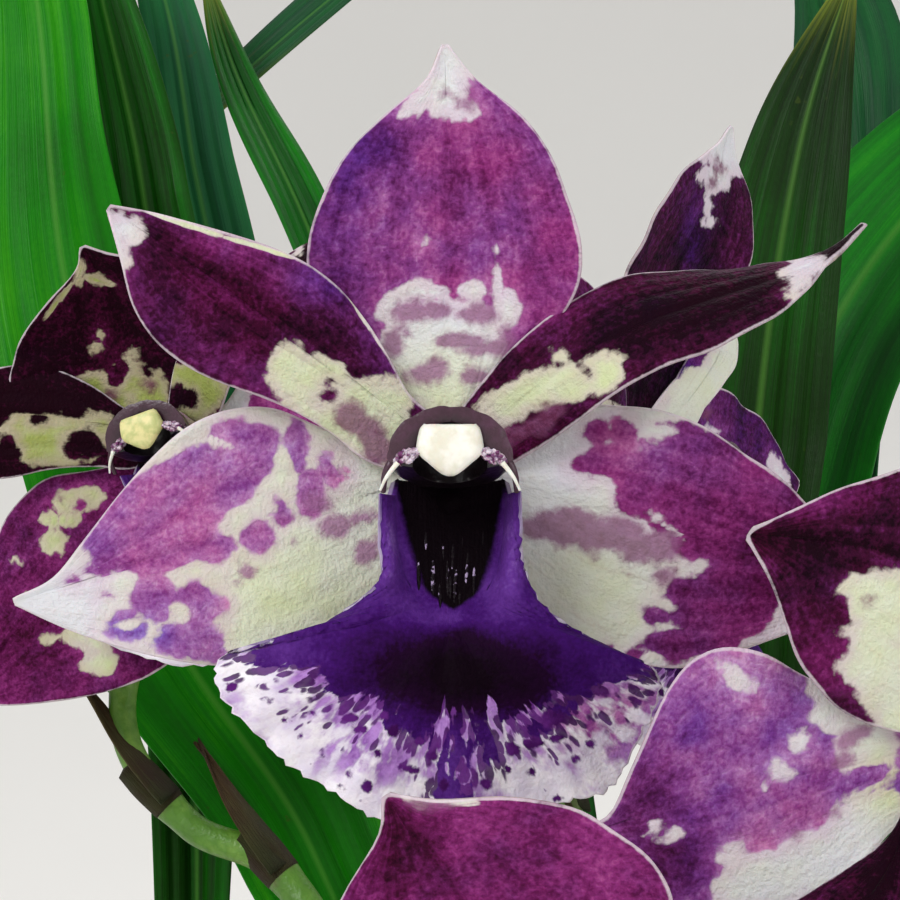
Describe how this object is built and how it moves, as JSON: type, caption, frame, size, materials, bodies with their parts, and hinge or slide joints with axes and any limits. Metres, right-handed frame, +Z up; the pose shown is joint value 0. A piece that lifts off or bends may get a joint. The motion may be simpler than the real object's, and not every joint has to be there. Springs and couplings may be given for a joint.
{
  "type": "potted orchid",
  "caption": "Zygonisia orchid in a plain clay pot of bark, with strap leaves, arching spikes and purple, cream-blotched flowers with a blue-violet lip",
  "frame": {"origin": "centre of the pot's foot, on the surface that it stands on", "axes": "+Z up along the pot's axis, the flowers face -Y, +X to the right of someone looking at them"},
  "size_m": [0.2827, 0.2104, 0.3974],
  "materials": {
    "fired_clay": "matt, unglazed",
    "bark": "rough chips",
    "bulb_green": "waxy skin with dry papery sheaths",
    "leaf_green": "satin, ribbed",
    "stem_green": "satin",
    "tepal_purple": "velvety, with cream and white blotches",
    "lip_violet": "velvety, netted towards a white margin",
    "column_maroon": "waxy",
    "cap_ivory": "waxy"
  },
  "bodies": {
    "root": {"clay_pot": "fired_clay", "bark_mix": "bark", "pseudobulb_back_left": "bulb_green", "pseudobulb_centre": "bulb_green", "pseudobulb_right": "bulb_green", "pseudobulb_old": "bulb_green", "leaf_left_arch": "leaf_green", "leaf_low_left": "leaf_green", "leaf_centre_thin": "leaf_green", "leaf_left_upright": "leaf_green", "leaf_far_left": "leaf_green", "leaf_back_cross": "leaf_green", "leaf_right_slim": "leaf_green", "leaf_right_broad": "leaf_green", "leaf_right_arch": "leaf_green", "leaf_front_left": "leaf_green", "leaf_old_left": "leaf_green", "flower_spike_front": "stem_green", "flower_spike_rear": "stem_green", "bloom_main_tepals": "tepal_purple", "bloom_main_lip": "lip_violet", "bloom_main_column": "column_maroon", "bloom_main_anther_cap": "cap_ivory", "bloom_lower_right_tepals": "tepal_purple", "bloom_lower_right_lip": "lip_violet", "bloom_lower_right_column": "column_maroon", "bloom_lower_right_anther_cap": "cap_ivory", "bloom_lower_front_tepals": "tepal_purple", "bloom_lower_front_lip": "lip_violet", "bloom_lower_front_column": "column_maroon", "bloom_lower_front_anther_cap": "cap_ivory", "bloom_behind_tepals": "tepal_purple", "bloom_behind_lip": "lip_violet", "bloom_behind_column": "column_maroon", "bloom_behind_anther_cap": "cap_ivory", "bloom_lowest_tepals": "tepal_purple", "bloom_lowest_lip": "lip_violet", "bloom_lowest_column": "column_maroon", "bloom_lowest_anther_cap": "cap_ivory", "bloom_left_tepals": "tepal_purple", "bloom_left_lip": "lip_violet", "bloom_left_column": "column_maroon", "bloom_left_anther_cap": "cap_ivory", "bloom_far_left_tepals": "tepal_purple", "bloom_far_left_lip": "lip_violet", "bloom_far_left_column": "column_maroon", "bloom_far_left_anther_cap": "cap_ivory"}
  },
  "joints": []
}
